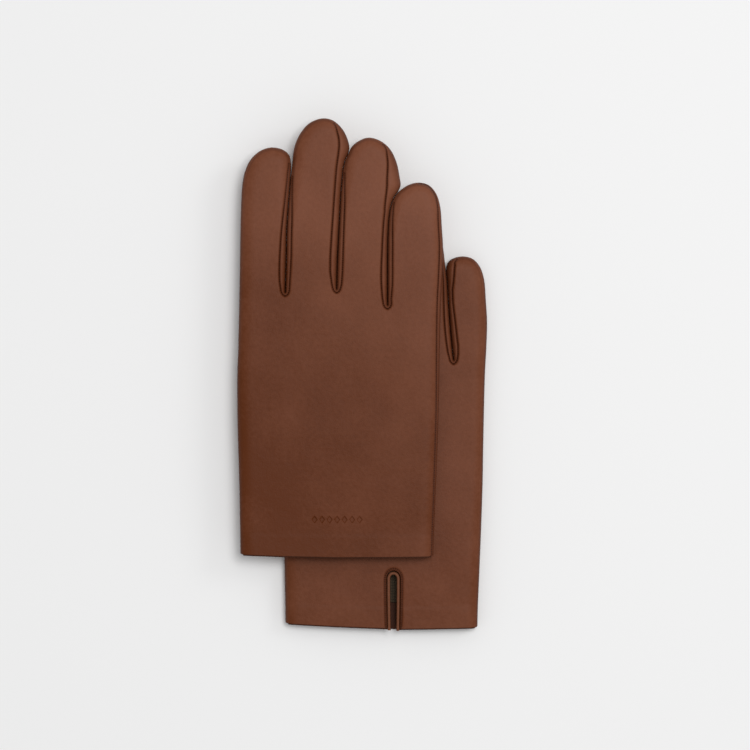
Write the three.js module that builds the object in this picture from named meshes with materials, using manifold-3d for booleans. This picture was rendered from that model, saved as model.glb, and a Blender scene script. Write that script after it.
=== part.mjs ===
// A pair of lined leather touchscreen gloves, laid palm to palm.
// The left glove lies on its back with its palm up. The right glove lies on it, back up, shifted up and to
// the left. Both have the index finger at -X and the little finger at +X, so the left glove is the right one
// mirrored in height. Fingers point along +Y, Z is up, and all sizes are in millimetres.
// Each glove is a flattened tube: a back and a palm of leather, a strip down each side, fourchettes between
// the fingers, a thumb, a turned cuff, a bound vent in the palm, and a knitted lining whose index and thumb
// tips are conductive. A finger that can bend is parted from the hand at its knuckle line.
import * as THREE from "three";
import { mergeVertices } from "three/addons/utils/BufferGeometryUtils.js";
import Module from "manifold-3d";

const wasm = await Module();
wasm.setup();

// Materials and fit
const CLEARANCE = 0.3; // between pieces that touch
const LEATHER = 1.0;
const KNIT = 1.0;
const GLOVE_HEIGHT = 11; // outside, of one flattened glove
const FINGER_GAP = 0.9; // between neighbouring fingers
const CURVE_STEPS = 6; // straight steps along a side of the hand or round half a fingertip

// The hand, from the cuff edge at y = 0 up to the knuckles. The sides are given at the cuff and the knuckles,
// with how far they swell out between the two and the x they gain for each mm of finger.
const KNUCKLE_Y = 147.5;
const INDEX_SIDE = { cuff: -54.2, knuckle: -54.8, swell: -1.4, lean: 0.019 };
const LITTLE_SIDE = { cuff: 54, knuckle: 57.9, swell: 0.6, lean: 0.038 };

// The slits between the fingers, from where each meets the hand
const SLITS = {
  right: [
    { x: -29.8, y: KNUCKLE_Y, lean: 0.063 },
    { x: -0.6, y: KNUCKLE_Y, lean: 0.092 },
    { x: 28.4, y: KNUCKLE_Y - 9, lean: 0.08 },
  ],
  left: [
    { x: -25, y: KNUCKLE_Y, lean: 0.02 },
    { x: 4.5, y: KNUCKLE_Y, lean: 0.02 },
    { x: 35.2, y: KNUCKLE_Y + 1.1, lean: 0 },
  ],
};
const FINGERS = [
  { name: "index", tip: KNUCKLE_Y + 81.1, tipLength: 23.6 },
  { name: "middle", tip: KNUCKLE_Y + 97.4, tipLength: 24.9 },
  { name: "ring", tip: KNUCKLE_Y + 86.7, tipLength: 26.2 },
  { name: "little", tip: KNUCKLE_Y + 61.4, tipLength: 23.9 },
];
const LAST = FINGERS.length - 1;

// Cuff and vent
const FACING_DEPTH = 13.5; // how far the cuff's leather turns in
const CUFF_EDGE = 0.6; // the facing starts this far in from the cuff edge
const VENT = { x: 7.3, length: 33, opening: 3.5, binding: 2, proud: 0.5 };

// How the pair lies
const LEFT_SHIFT = { x: 25, y: -41 };
const PAIR_GAP = VENT.proud + CLEARANCE;

// The thumbs lie on each other below the right palm, beside the left glove, and fill the height there
const THUMB = {
  width: 23,
  height: (GLOVE_HEIGHT + PAIR_GAP) / 2 - CLEARANCE,
  base: 50,
  tip: 148,
  tipLength: 17,
  skin: 0.8,
  knit: 0.6,
};
const THUMB_TUCK = 1.4; // from the widest part of the right hand's index side to its thumb
const THUMB_HOLE = { from: 54, to: 86, rim: 2.4 };

const nappa = new THREE.MeshStandardMaterial({ color: 0x70472f, roughness: 0.55, metalness: 0 });
const facingLeather = new THREE.MeshStandardMaterial({ color: 0x5f3a26, roughness: 0.6, metalness: 0 });
const knit = new THREE.MeshStandardMaterial({ color: 0x3a332c, roughness: 0.95, metalness: 0 });
const conductiveKnit = new THREE.MeshStandardMaterial({ color: 0x55555a, roughness: 0.8, metalness: 0.1 });

const at = (x, y) => new THREE.Vector2(x, y);

function solidOf(geometry) {
  const bare = geometry.clone();
  bare.deleteAttribute("normal");
  bare.deleteAttribute("uv");
  const merged = mergeVertices(bare, 1e-4);
  const vertProperties = merged.attributes.position.array;
  const triVerts = new Uint32Array(merged.index.array);
  return new wasm.Manifold(new wasm.Mesh({ numProp: 3, vertProperties, triVerts }));
}

// The first geometry with the others cut away.
function cut(geometry, ...tools) {
  const solid = tools.reduce((left, tool) => left.subtract(solidOf(tool)), solidOf(geometry));
  const mesh = solid.getMesh();
  const result = new THREE.BufferGeometry();
  result.setAttribute("position", new THREE.BufferAttribute(mesh.vertProperties, 3));
  result.setIndex(new THREE.BufferAttribute(mesh.triVerts, 1));
  result.computeVertexNormals();
  return result;
}

const ovalPoints = (x, y, halfWidth, halfLength) =>
  new THREE.EllipseCurve(x, y, halfWidth, halfLength).getPoints(3 * CURVE_STEPS).slice(1);

const rectanglePoints = (left, right, from, to) => [at(left, from), at(right, from), at(right, to), at(left, to)];

// A slot rounded at its top end.
function slotPoints(x, half, from, top) {
  const arc = new THREE.EllipseCurve(x, top - half, half, half, 0, Math.PI).getPoints(CURVE_STEPS);
  return [at(x - half, from), at(x + half, from), ...arc];
}

function handSide(side, y) {
  const { cuff, knuckle, swell } = side < 0 ? INDEX_SIDE : LITTLE_SIDE;
  const t = y / KNUCKLE_Y;
  return THREE.MathUtils.lerp(cuff, knuckle, t) + swell * 4 * t * (1 - t);
}

// Up one side of the hand. An inset moves any outline in from the leather's outside.
function handSidePoints(side, inset, from, to) {
  return Array.from({ length: CURVE_STEPS + 1 }, (_, i) => {
    const y = THREE.MathUtils.lerp(from, to, i / CURVE_STEPS);
    return at(handSide(side, y) - side * inset, y);
  });
}

// Between two outlines that run the same way.
const band = (outer, inner) => [...outer, ...inner.reverse()];

const handAcross = (inset, from, to) =>
  band(handSidePoints(-1, inset, from, to), handSidePoints(1, inset, from, to));

// The outlines that depend on where one glove's slits are.
function fingersOf(hand) {
  const slits = SLITS[hand];
  const rootOf = (i) => (i === LAST ? slits[LAST - 1].y : KNUCKLE_Y);

  function sideAt(i, side, y) {
    if (i === 0 && side < 0) return INDEX_SIDE.knuckle + INDEX_SIDE.lean * (y - KNUCKLE_Y);
    if (i === LAST && side > 0) return LITTLE_SIDE.knuckle + LITTLE_SIDE.lean * (y - KNUCKLE_Y);
    const slit = slits[side < 0 ? i - 1 : i];
    return slit.x + slit.lean * (y - slit.y) - (side * FINGER_GAP) / 2;
  }

  // Up one side of a finger and round to just short of the middle of its tip.
  function sidePoints(i, side, inset, from = rootOf(i)) {
    const { tip, tipLength } = FINGERS[i];
    const shoulder = tip - tipLength;
    const low = sideAt(i, -1, shoulder);
    const high = sideAt(i, 1, shoulder);
    const halfWidth = (high - low) / 2 - inset;
    const last = Math.acos(CLEARANCE / 2 / halfWidth);
    const points = from < shoulder ? [at(sideAt(i, side, from) - side * inset, from)] : [];
    for (let k = 0; k <= CURVE_STEPS; k++) {
      const angle = (last * k) / CURVE_STEPS;
      const x = (low + high) / 2 + side * halfWidth * Math.cos(angle);
      points.push(at(x, shoulder + (tipLength - inset) * Math.sin(angle)));
    }
    return points;
  }

  const across = (i, inset, from) => band(sidePoints(i, -1, inset, from), sidePoints(i, 1, inset, from));

  // The piece down one side of a finger. It starts at the knuckle line, or at the slit if that is farther up.
  function strip(i, side) {
    const slit = slits[side < 0 ? i - 1 : i];
    const from = Math.max(rootOf(i), slit ? slit.y : 0);
    return band(sidePoints(i, side, 0, from), sidePoints(i, side, LEATHER, from));
  }

  // The hand with the first few fingers on it. It ends short of the fingers that are parted from it, or
  // runs past their knuckle line by an overrun.
  function handWith(joined, inset, from, overrun = -CLEARANCE) {
    const littleTop = rootOf(LAST) + overrun;
    const points = handSidePoints(-1, inset, from, KNUCKLE_Y + (joined ? 0 : overrun));
    for (let i = 0; i < joined; i++) {
      const start = KNUCKLE_Y - (i ? inset : -CLEARANCE);
      const end = i === joined - 1 ? littleTop : KNUCKLE_Y - inset;
      points.push(...band(sidePoints(i, -1, inset, start), sidePoints(i, 1, inset, end)));
    }
    if (!joined) {
      const x = sideAt(LAST - 1, 1, KNUCKLE_Y) - inset;
      points.push(at(x, KNUCKLE_Y + overrun), at(x, littleTop));
    }
    return [...points, ...handSidePoints(1, inset, from, littleTop).reverse()];
  }

  return { rootOf, sideAt, sidePoints, across, strip, handWith };
}

// One glove, with its palm's outside at height 0 and its back's at GLOVE_HEIGHT, or turned over for palmUp.
// The first few fingers are joined to the hand and the rest are parted from it.
function makeGlove({ hand, joined, palmUp }) {
  const fingers = fingersOf(hand);
  const group = new THREE.Group();
  const lining = LEATHER + CLEARANCE;
  const hollow = lining + KNIT;
  const wall = [lining, GLOVE_HEIGHT - lining];
  const inside = [hollow, GLOVE_HEIGHT - hollow];
  const backSkin = [GLOVE_HEIGHT - LEATHER, GLOVE_HEIGHT];
  const palmSkin = [0, LEATHER];
  const palmSide = [-1, GLOVE_HEIGHT / 2]; // tools that cut the palm's layers only
  const throughout = [-1, GLOVE_HEIGHT + 1];
  const overrun = 5; // tools run this far past the face they cut

  function slab(points, [low, high]) {
    const bottom = palmUp ? GLOVE_HEIGHT - high : low;
    const shape = new THREE.Shape(points);
    const geometry = new THREE.ExtrudeGeometry(shape, { depth: high - low, bevelEnabled: false });
    return geometry.translate(0, 0, bottom);
  }

  function add(name, material, geometry) {
    const mesh = new THREE.Mesh(geometry, material);
    mesh.name = `${hand}_${name}`;
    group.add(mesh);
  }

  // Vent
  const ventTop = VENT.length - VENT.binding;
  const vent = (margin, from, heights) =>
    slab(slotPoints(VENT.x, VENT.opening / 2 + margin, from, ventTop + margin), heights);
  const ventRoom = vent(VENT.binding + CLEARANCE, -1, palmSide);
  add("vent_binding", facingLeather, cut(
    vent(VENT.binding, 0, [-VENT.proud, LEATHER]),
    vent(0, -1, [-1, LEATHER + 1]),
  ));

  // Thumb: a flattened tube whose mouth meets the palm it lies under, or the side of the hand it lies beside
  const widest = handSide(-1, (THUMB_HOLE.from + THUMB_HOLE.to) / 2);
  const thumbX = (palmUp ? widest - CLEARANCE - THUMB.width : widest + THUMB_TUCK) + THUMB.width / 2;
  const thumbLow = palmUp ? GLOVE_HEIGHT - THUMB.height : -CLEARANCE - THUMB.height;
  const thumbShoulder = THUMB.tip - THUMB.tipLength;
  function thumbSlab(inset, from, to = Infinity) {
    const half = THUMB.width / 2 - inset;
    const arc = new THREE.EllipseCurve(thumbX, thumbShoulder, half, THUMB.tipLength - inset, 0, Math.PI);
    const points = to < thumbShoulder
      ? rectanglePoints(thumbX - half, thumbX + half, from, to)
      : [at(thumbX - half, from), at(thumbX + half, from), ...arc.getPoints(2 * CURVE_STEPS)];
    return slab(points, [thumbLow + inset, thumbLow + THUMB.height - inset]);
  }
  const thumbLining = THUMB.skin + CLEARANCE;
  const thumbHollow = thumbLining + THUMB.knit;
  const holeY = (THUMB_HOLE.from + THUMB_HOLE.to) / 2;
  const hole = ovalPoints(thumbX, holeY, THUMB.width / 2 - THUMB_HOLE.rim, holeY - THUMB_HOLE.from);
  const windowHeights = [thumbLow + THUMB.skin, GLOVE_HEIGHT - hollow];
  const thumbMouth = palmUp
    ? slab(rectanglePoints(thumbX, widest + 2 * hollow, THUMB_HOLE.from, THUMB_HOLE.to), windowHeights)
    : slab(hole, [thumbLow + THUMB.height / 2, GLOVE_HEIGHT / 2]);
  add("thumb", nappa, cut(
    thumbSlab(0, THUMB.base),
    thumbSlab(THUMB.skin, THUMB.base + THUMB.skin),
    thumbMouth,
  ));
  add("thumb_lining", knit, cut(
    thumbSlab(thumbLining, THUMB.base + thumbLining, thumbShoulder - CLEARANCE),
    thumbSlab(thumbHollow, THUMB.base + thumbHollow),
    thumbMouth,
  ));
  add("thumb_touch_tip", conductiveKnit, cut(
    thumbSlab(thumbLining, thumbShoulder),
    thumbSlab(thumbHollow, thumbShoulder - overrun),
  ));

  // Leather of the hand
  add("back_panel", nappa, slab(fingers.handWith(joined, 0, 0), backSkin));
  const palm = slab(fingers.handWith(joined, 0, 0), palmSkin);
  add("palm_panel", nappa, palmUp ? cut(palm, ventRoom) : cut(palm, ventRoom, thumbMouth));
  const foldTop = KNUCKLE_Y - CLEARANCE;
  const fold = slab(joined
    ? band(
        [...handSidePoints(-1, 0, 0, foldTop), ...fingers.sidePoints(0, -1, 0)],
        [...handSidePoints(-1, LEATHER, 0, foldTop), ...fingers.sidePoints(0, -1, LEATHER)],
      )
    : band(handSidePoints(-1, 0, 0, foldTop), handSidePoints(-1, LEATHER, 0, foldTop)), wall);
  add("hand_side_fold", nappa, palmUp ? cut(fold, thumbMouth) : fold);
  const seamTop = fingers.rootOf(LAST) - CLEARANCE;
  add("hand_side_seam", nappa, slab(
    band(handSidePoints(1, 0, 0, seamTop), handSidePoints(1, LEATHER, 0, seamTop)),
    wall,
  ));
  if (seamTop < foldTop) {
    const x = fingers.sideAt(LAST - 1, 1, KNUCKLE_Y);
    add("ring_fourchette_foot", nappa, slab(rectanglePoints(x - LEATHER, x, seamTop, foldTop), wall));
  }

  // Cuff facing and lining of the hand
  const facingTop = CUFF_EDGE + FACING_DEPTH;
  add("cuff_facing", facingLeather, cut(
    slab(handAcross(lining, CUFF_EDGE, facingTop), wall),
    slab(handAcross(hollow, -1, facingTop + 1), inside),
    ventRoom,
  ));
  const touchTip = (i, inset, from, heights) => slab(fingers.across(i, inset, from), heights);
  const tipStart = (i) => FINGERS[i].tip - FINGERS[i].tipLength;
  const handLining = cut(
    slab(fingers.handWith(joined, lining, facingTop + CLEARANCE), wall),
    slab(fingers.handWith(joined, hollow, -1, overrun), inside),
    ventRoom,
    thumbMouth,
  );
  const tipRoom = touchTip(0, 0, tipStart(0) - CLEARANCE, throughout);
  add("hand_lining", knit, joined ? cut(handLining, tipRoom) : handLining);
  add("index_touch_tip", conductiveKnit, cut(
    touchTip(0, lining, tipStart(0), wall),
    touchTip(0, hollow, tipStart(0) - overrun, inside),
  ));

  // Fingers
  FINGERS.forEach(({ name }, i) => {
    const root = fingers.rootOf(i);
    if (i >= joined) {
      add(`${name}_back`, nappa, slab(fingers.across(i, 0), backSkin));
      add(`${name}_palm`, nappa, slab(fingers.across(i, 0), palmSkin));
      const tube = cut(
        slab(fingers.across(i, lining), wall),
        slab(fingers.across(i, hollow, root - overrun), inside),
      );
      add(`${name}_lining`, knit, i ? tube : cut(tube, tipRoom));
      if (i === 0) add("index_side_fold", nappa, slab(fingers.strip(i, -1), wall));
    }
    if (i > 0) add(`${name}_inner_fourchette`, nappa, slab(fingers.strip(i, -1), wall));
    if (i < LAST) add(`${name}_outer_fourchette`, nappa, slab(fingers.strip(i, 1), wall));
    else add(`${name}_side_seam`, nappa, slab(fingers.strip(i, 1), wall));
  });
  return group;
}

const leftGlove = makeGlove({ hand: "left", joined: LAST, palmUp: true });
leftGlove.position.set(LEFT_SHIFT.x, LEFT_SHIFT.y, 0);
const rightGlove = makeGlove({ hand: "right", joined: 0, palmUp: false });
rightGlove.position.z = GLOVE_HEIGHT + PAIR_GAP;

// The origin is under the middle of the pair, on the surface it lies on.
const pair = new THREE.Group();
pair.add(leftGlove, rightGlove);
pair.updateMatrixWorld(true);
const box = new THREE.Box3().setFromObject(pair, true);
const middle = box.getCenter(new THREE.Vector3());
pair.position.set(-middle.x, -middle.y, -box.min.z);

export default pair;
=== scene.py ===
"""Looks for a pair of lined leather touchscreen gloves, laid palm to palm.

Each glove is sewn in millimetres in its own frame: x runs from the index side to the little finger side,
y from the cuff edge to the fingertips, and the palm's outside lies at height 0. The right glove lies back up
on the left one, which lies palm up.
"""
import math

import bpy
import numpy as np
from mathutils.geometry import delaunay_2d_cdt
from mathutils.kdtree import KDTree
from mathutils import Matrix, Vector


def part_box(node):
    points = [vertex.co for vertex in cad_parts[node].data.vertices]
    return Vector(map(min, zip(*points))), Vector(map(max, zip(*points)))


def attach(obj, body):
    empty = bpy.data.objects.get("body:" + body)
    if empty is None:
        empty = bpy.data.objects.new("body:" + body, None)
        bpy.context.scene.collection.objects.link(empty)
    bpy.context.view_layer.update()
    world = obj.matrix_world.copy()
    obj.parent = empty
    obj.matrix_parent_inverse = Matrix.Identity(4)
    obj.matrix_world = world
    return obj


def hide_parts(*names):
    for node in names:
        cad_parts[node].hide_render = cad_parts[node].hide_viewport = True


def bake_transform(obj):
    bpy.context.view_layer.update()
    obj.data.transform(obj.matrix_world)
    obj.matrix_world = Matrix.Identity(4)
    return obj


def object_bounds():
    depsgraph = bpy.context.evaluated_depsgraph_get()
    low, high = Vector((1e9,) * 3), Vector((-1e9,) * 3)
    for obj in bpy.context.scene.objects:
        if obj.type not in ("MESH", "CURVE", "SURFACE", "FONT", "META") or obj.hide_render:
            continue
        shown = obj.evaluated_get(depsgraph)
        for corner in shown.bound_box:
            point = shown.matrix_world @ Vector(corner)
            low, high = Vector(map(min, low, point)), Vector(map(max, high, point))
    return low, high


bl_info = {
    "name": "Leather touchscreen gloves",
    "version": (1, 0, 0),
    "blender": (4, 5, 0),
    "location": "3D View > Sidebar > Gloves",
    "description": "Sews a pair of lined leather gloves over their packed frame",
    "category": "Add Mesh",
}

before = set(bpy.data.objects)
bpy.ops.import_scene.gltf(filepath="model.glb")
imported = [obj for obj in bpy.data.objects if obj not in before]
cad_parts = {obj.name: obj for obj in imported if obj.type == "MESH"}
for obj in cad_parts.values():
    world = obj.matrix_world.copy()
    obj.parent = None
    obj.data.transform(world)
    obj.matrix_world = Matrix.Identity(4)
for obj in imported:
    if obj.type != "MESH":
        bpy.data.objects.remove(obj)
CAD_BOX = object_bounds()
MM = 0.001
CAMERA_ASIDE = (0.007, -0.0008)  # how far in x and y the camera stands from the middle of the gloves
FINGERS = ("index", "middle", "ring", "little")
GLOVE_HEIGHT = 11.0
MIDDLE = GLOVE_HEIGHT / 2

# Outlines of the flat gloves, in millimetres. Each is drawn through as few points as its curve needs.
INDEX_EDGE = [(-54.2, -4), (-54.3, 7), (-54.9, 41), (-55.9, 75), (-56, 102), (-55.5, 115), (-54.9, 142),
              (-54.4, 171), (-53.9, 195)]
LITTLE_EDGE = [(53.9, -4), (54.1, 8), (55.2, 35), (56.2, 60), (56.9, 82), (57.2, 100), (57.6, 120),
               (58.2, 143), (59, 158), (59.4, 172)]
SLITS = {
    "right": [
        [(-29.1, 147.5), (-28.6, 165), (-28.2, 183.6), (-26.9, 202), (-26.1, 212)],
        [(-0.3, 149.3), (0, 163), (0.7, 178), (1.5, 193), (2, 203), (2.8, 211.5), (3.5, 217.5)],
        [(28.2, 140.3), (28.2, 151), (28.2, 165), (28.4, 179), (29, 189), (30, 195.5)],
    ],
    "left": [
        [(-24.2, 151), (-24.8, 170), (-25.2, 190), (-25.5, 205), (-25.6, 213)],
        [(8, 151), (7.2, 165), (5.8, 180), (4.8, 195), (4, 207), (3.7, 217.5)],
        [(40.4, 150.5), (39.6, 158), (38.8, 166), (37.5, 183), (36.8, 195), (36.3, 200)],
    ],
}
INDEX_TIP = [(-53.2, 207.5), (-51.6, 215.5), (-48.2, 222.3), (-42.7, 227), (-36.5, 228.7), (-30.5, 227.5),
             (-27, 224.6), (-25.9, 220.5)]
MIDDLE_TIP = [(-25.1, 220.5), (-24.6, 226), (-23.3, 231.2), (-20.2, 237.3), (-15.5, 242.4), (-8.4, 245),
              (-2.4, 243.9), (3, 239), (6, 233), (6.9, 228.4), (6.2, 225.2), (4.7, 222)]
RING_TIP = [(4.7, 222), (6.2, 225.2), (8.1, 229), (11.7, 232.1), (17.3, 234.2), (23.9, 232.6), (29.6, 227.9),
            (33.3, 220.4)]
LITTLE_TIP = [(39.9, 207.7), (45.1, 209), (51.1, 207.7), (55.4, 203), (57.7, 196), (58.7, 184)]
TIPS = {
    "right": [
        INDEX_TIP,
        MIDDLE_TIP,
        RING_TIP + [(35.1, 211.9), (35.6, 207.4), (34.3, 204.1), (31.7, 200.3)],
        [(31.7, 200.3), (34.4, 203.9), (37, 205.9)] + LITTLE_TIP,
    ],
    "left": [
        INDEX_TIP,
        MIDDLE_TIP,
        RING_TIP + [(34.9, 212), (35.6, 206)],
        [(36.4, 203), (37.4, 205.7)] + LITTLE_TIP,
    ],
}

# How far in from the outline each seam runs, from the slit or cuff (0) to the fingertip (1)
FOLD = [(0, 2.2), (0.85, 2.2), (0.95, 1.2), (1, 0.7)]
NARROW = [(0, 2.0), (0.05, 2.8), (0.13, 3.2), (0.25, 3.2), (0.45, 2.2), (0.7, 1.2), (0.85, 0.8), (1, 0.7)]
WIDE = [(0, 2.0), (0.05, 2.8), (0.13, 3.3), (0.3, 3.0), (0.5, 2.3), (0.62, 2.4), (0.72, 4.0), (0.8, 5.0),
        (0.9, 2.5), (0.96, 0.9), (1, 0.7)]
SEAM_INSETS = {
    ("back", "index", "left"): FOLD,
    ("back", "index", "right"): [(0, 2.2), (0.06, 3.2), (0.14, 3.8), (0.29, 3.4), (0.46, 2.5), (0.58, 2.0),
                                 (0.76, 1.6), (0.86, 0.9), (1, 0.7)],
    ("back", "middle", "left"): [(0, 2.2), (0.05, 2.4), (0.2, 2.9), (0.38, 2.7), (0.52, 1.5), (0.7, 0.8),
                                 (1, 0.7)],
    ("back", "middle", "right"): [(0, 2.0), (0.03, 2.8), (0.11, 4.1), (0.22, 4.0), (0.38, 3.7), (0.53, 3.4),
                                  (0.66, 3.8), (0.77, 6.0), (0.875, 3.3), (0.945, 0.9), (1, 0.7)],
    ("back", "ring", "left"): [(0, 2.0), (0.03, 2.7), (0.13, 3.2), (0.29, 2.9), (0.55, 2.4), (0.74, 0.9),
                               (1, 0.7)],
    ("back", "ring", "right"): [(0, 2.2), (0.04, 2.9), (0.14, 3.8), (0.32, 3.0), (0.5, 2.6), (0.57, 4.5),
                                (0.65, 8.0), (0.7, 7.6), (0.78, 5.2), (0.9, 1.2), (1, 0.7)],
    ("back", "little", "left"): [(0, 2.2), (0.04, 1.9), (0.16, 2.8), (0.45, 2.7), (0.67, 1.8), (0.77, 1.0),
                                 (1, 0.7)],
    ("back", "little", "right"): [(0, 1.0), (0.17, 1.1), (0.28, 1.3), (0.45, 1.5), (0.64, 2.1), (0.78, 2.2),
                                  (0.88, 1.9), (0.93, 1.2), (0.97, 0.8), (1, 0.7)],
    ("palm", "index", "left"): FOLD,
    ("palm", "index", "right"): NARROW,
    ("palm", "middle", "left"): WIDE,
    ("palm", "middle", "right"): NARROW,
    ("palm", "ring", "left"): WIDE,
    ("palm", "ring", "right"): NARROW,
    ("palm", "little", "left"): WIDE,
    ("palm", "little", "right"): FOLD,
}
TIP_INSET = 0.7  # at the fingertip, where a seam fades out
CROTCH_DROP = 2.2  # how far below a slit's end its seam turns
CROTCH_TURN = 1.2  # how far up the slit its seam has turned to run alongside it
CROTCH_STOPS = (0, 0.05, 0.14, 0.28, 0.48, 0.74, 1.06, 1.44, 1.88, 2.4)  # places along the foot of a slit
CROTCH_END = 2.9  # further up, the outline's own places are close enough
SLIT_CLEARANCE = 0.03  # keeps the two walls of a slit apart
SIDE_SEAM_FROM = 38  # the little finger side's seam shows most above this height
SIDE_SEAM_STRENGTH = 1.6
SEAM_SHOWN = 0.5  # a seam weaker than this has no stitches
FAR = 50.0  # the distance to a seam or an edge, where there is none

# Half the glove's thickness by height, on the side that it lies on and on the other
LYING_FULLNESS = [(0, 5.1), (20, 5.35)]
UPPER_FULLNESS = [(0, 5.15), (10, 5.2), (12.5, 5.0), (40, 5.25), (70, 5.45), (150, 5.5), (190, 5.55),
                  (245, 5.4)]
# Soft rises and dips of the leather: x, y, half width, half length and height of each
DRAPE = {
    "right": [(-30, 62, 26, 38, 0.35), (-42, 22, 16, 16, -0.4), (22, 44, 18, 34, 0.3),
              (40, 110, 12, 26, 0.25), (6, 92, 26, 18, -0.35), (-8, 128, 18, 12, 0.25),
              (30, 14, 26, 9, -0.25)],
    "left": [(-20, 10, 22, 12, 0.3), (44, 40, 9, 30, 0.25), (47, 110, 7, 30, -0.25), (20, 30, 8, 14, 0.2)],
}
# The cuff's edge isn't quite straight: x, and how far the edge lies up the hand there
CUFF_BOW = {
    "right": [(-54, 0.7), (-30, -0.2), (0, -0.8), (30, -0.7), (54, -0.4)],
    "left": [(-54, 2.4), (-27, 0.9), (0, -0.2), (8, -0.7), (30, -0.4), (54, 0.1)],
}
CUFF_BOW_REACH = 45

CAD_VENT_X = 7.3  # the middle of the vent in the frame
VENT_X = 6.6
VENT_TOP = 31.2
VENT_ROUND = 3.5  # height of the vent's rounded end
PALM_GAP = 0.35  # from the binding's outside to the palm's edge
STITCH_ROW = 1.5  # from the binding's outside to the stitches beside it

ORNAMENT_Y = 20.5
ORNAMENT_PITCH = 4.2
ORNAMENT_COUNT = 7
LOZENGE = (1.75, 2.3)  # half its width and height
ORNAMENT_GRID = 0.3  # spacing of the panel's points there

# Places inside a panel: how far in each ring runs, and of how many edge points it keeps one
EDGE_RINGS = ((0.2, 1), (0.45, 1), (0.75, 1), (1.1, 1), (1.5, 1), (2.1, 2), (2.9, 2), (3.9, 2), (5.1, 3))
INSIDE_FROM = 5.9
INSIDE_SPACING = 1.9

FACING_RINGS = [(0.12, 1.25), (0.2, 1.5), (0.35, 1.85), (0.7, 2.1), (1.5, 2.2), (3, 2.2), (5, 2.2), (8, 2.2),
                (11, 2.2), (13.9, 2.2)]
HAND_HALF = 5.4  # half the thickness that the linings are drawn in from
FINGER_HALF = 5.3
LINING_START = 14.2
LINING_INSET = 2.4
LINING_THICKNESS = 0.7
JOINED_LINING_FROM = 153  # where the lining of a finger that has no knuckle starts
LINING_GAP = 0.5  # between a finger's lining and its touch tip
THUMB_FOOT = 11  # how long the thumb's rounded foot and tip are
THUMB_TIP = 15


def size(name):
    """One of the gloves' sizes, in millimetres."""
    return getattr(bpy.context.scene.glove_form, name) / MM


def past_binding(distance):
    """How far from the vent's middle lies a line at a distance outside its binding."""
    return size("vent_opening") / 2 + size("binding_width") + distance


def smooth_path(points, step):
    """Evenly spaced points along a smooth curve through the given ones."""
    given = np.array(points, float)
    ends = np.vstack([2 * given[0] - given[1], given, 2 * given[-1] - given[-2]])
    knots = np.concatenate([[0], np.cumsum(np.sqrt(np.linalg.norm(np.diff(ends, axis=0), axis=1)))])
    curve = []
    for i in range(1, len(ends) - 2):
        p0, p1, p2, p3 = ends[i - 1:i + 3]
        t0, t1, t2, t3 = knots[i - 1:i + 3]
        t = np.linspace(t1, t2, 24, endpoint=False)[:, None]
        a1 = (t1 - t) / (t1 - t0) * p0 + (t - t0) / (t1 - t0) * p1
        a2 = (t2 - t) / (t2 - t1) * p1 + (t - t1) / (t2 - t1) * p2
        a3 = (t3 - t) / (t3 - t2) * p2 + (t - t2) / (t3 - t2) * p3
        b1 = (t2 - t) / (t2 - t0) * a1 + (t - t0) / (t2 - t0) * a2
        b2 = (t3 - t) / (t3 - t1) * a2 + (t - t1) / (t3 - t1) * a3
        curve.append((t2 - t) / (t2 - t1) * b1 + (t - t1) / (t2 - t1) * b2)
    return even_path(np.vstack(curve + [given[-1:]]), step)


def lengths_along(path):
    """How far along a line each of its points lies."""
    return np.concatenate([[0], np.cumsum(np.linalg.norm(np.diff(path, axis=0), axis=1))])


def sample(rows, run, stops):
    """Points or directions along a line, taken at other distances along it."""
    return np.stack([np.interp(stops, run, rows[:, k]) for k in range(rows.shape[1])], axis=1)


def even_path(path, step):
    """Evenly spaced points along a line of straight stretches."""
    run = lengths_along(path)
    return sample(path, run, np.linspace(0, run[-1], max(2, int(round(run[-1] / step)) + 1)))


def along(table, at):
    """A table's value at a place, evenly between its rows."""
    return np.interp(at, [row[0] for row in table], [row[1] for row in table])


def ease(line, run, reach):
    """The line with its kinks averaged out over a distance."""
    weights = np.exp(-0.5 * ((run[:, None] - run[None]) / (reach / 2)) ** 2)
    return weights @ line / weights.sum(1, keepdims=True)


def vent_squeeze(y):
    """The share of the vent's width that is left where it draws in towards the cuff."""
    return 1 - 0.1 * (1 - np.clip(y / 22, 0, 1)) ** 1.5


def smoothstep(low, high, value):
    t = np.clip((value - low) / (high - low), 0, 1)
    return t * t * (3 - 2 * t)


def unit(vectors):
    return vectors / np.maximum(np.linalg.norm(vectors, axis=-1, keepdims=True), 1e-12)


class Lines:
    """Finds the nearest place on a set of open lines, with the values stored along them."""

    def __init__(self, paths, **values):
        self.points = np.vstack(paths)
        self.values = {name: np.concatenate(rows) for name, rows in values.items()}
        starts = np.cumsum([0] + [len(path) for path in paths])
        self.joined = np.ones(len(self.points), bool)
        self.joined[starts[1:] - 1] = False
        self.tree = KDTree(len(self.points))
        for i, (x, y) in enumerate(self.points):
            self.tree.insert((x, y, 0), i)
        self.tree.balance()

    def nearest(self, places):
        """The distance from each place, and each stored value there."""
        near = np.array([self.tree.find((x, y, 0))[1] for x, y in places])
        best = np.full(len(places), np.inf)
        start = near.copy()
        share = np.zeros(len(places))
        for first in (near - 1, near):
            first = np.clip(first, 0, len(self.points) - 2)
            a, b = self.points[first], self.points[first + 1]
            span = b - a
            t = np.clip(np.sum((places - a) * span, 1) / np.maximum(np.sum(span * span, 1), 1e-12), 0, 1)
            t = np.where(self.joined[first], t, np.where(first == near, 0, 1))
            distance = np.linalg.norm(places - a - span * t[:, None], axis=1)
            better = distance < best
            best[better], start[better], share[better] = distance[better], first[better], t[better]
        found = {
            name: rows[start] * (1 - share) + rows[start + 1] * share
            for name, rows in self.values.items()
        }
        return best, found


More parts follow.
